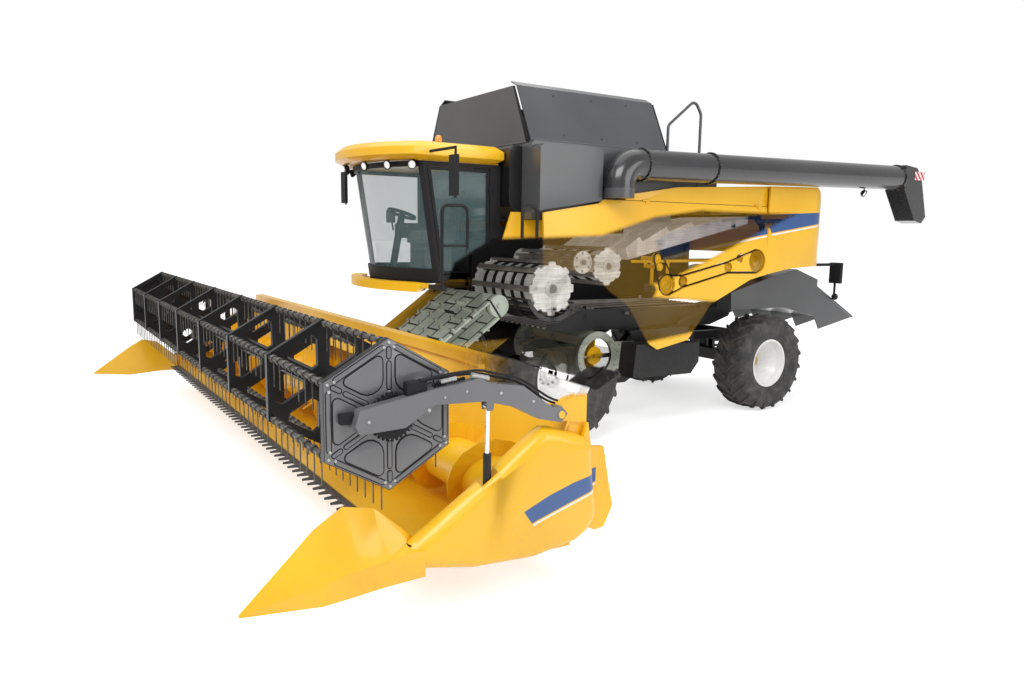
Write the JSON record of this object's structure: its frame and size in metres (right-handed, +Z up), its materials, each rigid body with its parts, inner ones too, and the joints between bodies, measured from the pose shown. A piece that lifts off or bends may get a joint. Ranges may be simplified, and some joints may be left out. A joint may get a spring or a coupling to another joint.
{
  "type": "combine harvester",
  "caption": "Combine harvester with raised grain header, tined reel, feeder house, threshing works, grain tank with folding covers, swinging unloading auger and steered rear wheels.",
  "frame": {"origin": "bottom centre of the bounding box of the whole machine, on the ground on its centre plane", "axes": "-Y is the direction of travel, +X the machine's left, +Z up; the YZ plane is the centre plane between the wheels"},
  "size_m": [9.4, 12.2, 4.5426],
  "materials": {
    "yellow_paint": "gloss",
    "black_paint": "satin",
    "grey_paint": "satin",
    "white_paint": "gloss",
    "tyre_rubber": "matte",
    "works_steel": "satin",
    "dark_steel": "matte",
    "chrome_rod": "polished",
    "glass": "clear",
    "black_plastic": "matte",
    "yellow_plastic": "gloss",
    "seat_fabric": "woven",
    "engine_iron": "rough"
  },
  "bodies": {
    "chassis": {"main_frame": "black_paint", "side_wall_left": "black_paint", "side_wall_right": "black_paint", "cab_side_panels": "yellow_plastic", "front_axle": "black_paint", "rear_axle": "black_paint", "engine": "engine_iron", "grain_tank": "grey_paint", "cab_shell": "black_paint", "cab_roof": "yellow_plastic", "cab_glass": "glass", "driver_seat": "seat_fabric", "steering_column": "black_plastic", "cab_platform": "black_paint", "mirrors": "black_plastic", "rear_hood": "yellow_plastic", "engine_deck": "grey_paint", "storage_boxes": "black_plastic", "straw_chopper": "grey_paint", "concave": "works_steel", "straw_walkers": "works_steel", "sieves": "dark_steel", "fan_housing": "works_steel", "belt_drive": "yellow_paint"},
    "front_wheel_left": {"front_tyre_left": "tyre_rubber", "front_rim_left": "white_paint"},
    "front_wheel_right": {"front_tyre_right": "tyre_rubber", "front_rim_right": "white_paint"},
    "rear_steering_left": {"rear_knuckle_left": "black_paint"},
    "rear_steering_right": {"rear_knuckle_right": "black_paint"},
    "rear_wheel_left": {"rear_tyre_left": "tyre_rubber", "rear_rim_left": "white_paint"},
    "rear_wheel_right": {"rear_tyre_right": "tyre_rubber", "rear_rim_right": "white_paint"},
    "header": {"feeder_house": "yellow_paint", "feeder_chain": "works_steel", "header_frame": "yellow_paint", "header_ends": "yellow_plastic", "knife_bar": "dark_steel"},
    "header_auger": {"header_auger": "yellow_paint"},
    "reel_arms": {"reel_arms": "black_paint"},
    "reel": {"reel_frame": "black_paint", "tine_bars": "black_paint"},
    "lift_barrels": {"lift_barrels": "black_paint"},
    "lift_rods": {"lift_rods": "chrome_rod"},
    "reel_barrels": {"reel_barrels": "black_paint"},
    "reel_rods": {"reel_rods": "chrome_rod"},
    "unloading_auger": {"unloading_auger": "grey_paint"},
    "cab_door": {"cab_door": "black_paint", "door_glass": "glass"},
    "tank_cover_left": {"tank_cover_left": "grey_paint"},
    "tank_cover_right": {"tank_cover_right": "grey_paint"},
    "tank_cover_front": {"tank_cover_front": "grey_paint"},
    "tank_cover_rear": {"tank_cover_rear": "grey_paint"},
    "side_shield_left": {"side_shield_left": "yellow_plastic"},
    "side_shield_right": {"side_shield_right": "yellow_plastic"},
    "threshing_drum": {"threshing_drum": "works_steel"},
    "beater": {"beater": "works_steel"},
    "rotary_separator": {"rotary_separator": "works_steel"},
    "cleaning_fan": {"cleaning_fan": "yellow_paint"}
  },
  "joints": [
    {"name": "front_wheel_left_spin", "type": "hinge", "parent": "chassis", "child": "front_wheel_left", "pos_m": [1.315, -1.35, 0.9], "axis": [1, 0, 0], "continuous": true},
    {"name": "front_wheel_right_spin", "type": "hinge", "parent": "chassis", "child": "front_wheel_right", "pos_m": [-1.315, -1.35, 0.9], "axis": [1, 0, 0], "continuous": true},
    {"name": "rear_steer_left", "type": "hinge", "parent": "chassis", "child": "rear_steering_left", "pos_m": [0.84, 2.68, 0.745], "axis": [0, 0, 1], "range_deg": [-28, 28]},
    {"name": "rear_steer_right", "type": "hinge", "parent": "chassis", "child": "rear_steering_right", "pos_m": [-0.84, 2.68, 0.745], "axis": [0, 0, 1], "range_deg": [-28, 28]},
    {"name": "rear_wheel_left_spin", "type": "hinge", "parent": "rear_steering_left", "child": "rear_wheel_left", "pos_m": [1.235, 2.68, 0.745], "axis": [1, 0, 0], "continuous": true},
    {"name": "rear_wheel_right_spin", "type": "hinge", "parent": "rear_steering_right", "child": "rear_wheel_right", "pos_m": [-1.235, 2.68, 0.745], "axis": [1, 0, 0], "continuous": true},
    {"name": "header_lift", "type": "hinge", "parent": "chassis", "child": "header", "pos_m": [0, -1.47, 1.93], "axis": [-1, 0, 0], "range_deg": [-2.5, 15]},
    {"name": "header_auger_spin", "type": "hinge", "parent": "header", "child": "header_auger", "pos_m": [0, -4.1, 0.8], "axis": [1, 0, 0], "continuous": true},
    {"name": "reel_lift", "type": "hinge", "parent": "header", "child": "reel_arms", "pos_m": [0, -3.71, 1.34], "axis": [-1, 0, 0], "range_deg": [-5, 16]},
    {"name": "reel_spin", "type": "hinge", "parent": "reel_arms", "child": "reel", "pos_m": [0, -5.04, 1.46], "axis": [1, 0, 0], "continuous": true},
    {"name": "lift_cylinder_tilt", "type": "hinge", "parent": "chassis", "child": "lift_barrels", "pos_m": [0, -1.68, 0.64], "axis": [-1, 0, 0], "range_deg": [-4, 19]},
    {"name": "lift_cylinder_stroke", "type": "slide", "parent": "lift_barrels", "child": "lift_rods", "axis": [0, -0.9826, -0.1857], "range_m": [-0.07, 0.345]},
    {"name": "reel_cylinder_tilt", "type": "hinge", "parent": "header", "child": "reel_barrels", "pos_m": [0, -4.335, 0.6], "axis": [-1, 0, 0], "range_deg": [-2, 5]},
    {"name": "reel_cylinder_stroke", "type": "slide", "parent": "reel_barrels", "child": "reel_rods", "axis": [0, 0, 1], "range_m": [-0.07, 0.2]},
    {"name": "unloading_auger_swing", "type": "hinge", "parent": "chassis", "child": "unloading_auger", "pos_m": [1.64, -0.63, 3.26], "axis": [0, 0, -1], "range_deg": [0, 100]},
    {"name": "cab_door_swing", "type": "hinge", "parent": "chassis", "child": "cab_door", "pos_m": [1.014, -2.146, 2.8], "axis": [0, 0, 1], "range_deg": [0, 80]},
    {"name": "tank_cover_left_fold", "type": "hinge", "parent": "chassis", "child": "tank_cover_left", "pos_m": [1.33, -0.65, 3.8], "axis": [0, -1, 0], "range_deg": [0, 44]},
    {"name": "tank_cover_right_fold", "type": "hinge", "parent": "chassis", "child": "tank_cover_right", "pos_m": [-1.33, -0.65, 3.8], "axis": [0, 1, 0], "range_deg": [0, 44]},
    {"name": "tank_cover_front_fold", "type": "hinge", "parent": "chassis", "child": "tank_cover_front", "pos_m": [0, -1.788, 3.7743], "axis": [-1, 0, 0], "range_deg": [0, 90]},
    {"name": "tank_cover_rear_fold", "type": "hinge", "parent": "chassis", "child": "tank_cover_rear", "pos_m": [0, 0.498, 3.7743], "axis": [1, 0, 0], "range_deg": [0, 90]},
    {"name": "side_shield_left_lift", "type": "hinge", "parent": "chassis", "child": "side_shield_left", "pos_m": [1.556, 0.25, 3.13], "axis": [0, -1, 0], "range_deg": [0, 70]},
    {"name": "side_shield_right_lift", "type": "hinge", "parent": "chassis", "child": "side_shield_right", "pos_m": [-1.556, 0.25, 3.13], "axis": [0, 1, 0], "range_deg": [0, 70]},
    {"name": "threshing_drum_spin", "type": "hinge", "parent": "chassis", "child": "threshing_drum", "pos_m": [0, -1, 1.95], "axis": [1, 0, 0], "continuous": true},
    {"name": "beater_spin", "type": "hinge", "parent": "chassis", "child": "beater", "pos_m": [0, -0.48, 2.3], "axis": [1, 0, 0], "continuous": true},
    {"name": "rotary_separator_spin", "type": "hinge", "parent": "chassis", "child": "rotary_separator", "pos_m": [0, -0.04, 2.24], "axis": [1, 0, 0], "continuous": true},
    {"name": "cleaning_fan_spin", "type": "hinge", "parent": "chassis", "child": "cleaning_fan", "pos_m": [0, -0.23, 0.98], "axis": [1, 0, 0], "continuous": true}
  ],
  "couplings": [
    {"joint": "rear_steer_right", "follows": "rear_steer_left", "ratio": 1},
    {"joint": "lift_cylinder_tilt", "follows": "header_lift", "ratio": 1.17},
    {"joint": "lift_cylinder_stroke", "follows": "header_lift", "m_per_rad": 1.279},
    {"joint": "reel_cylinder_tilt", "follows": "reel_lift", "ratio": 0.195},
    {"joint": "reel_cylinder_stroke", "follows": "reel_lift", "m_per_rad": 0.612}
  ]
}
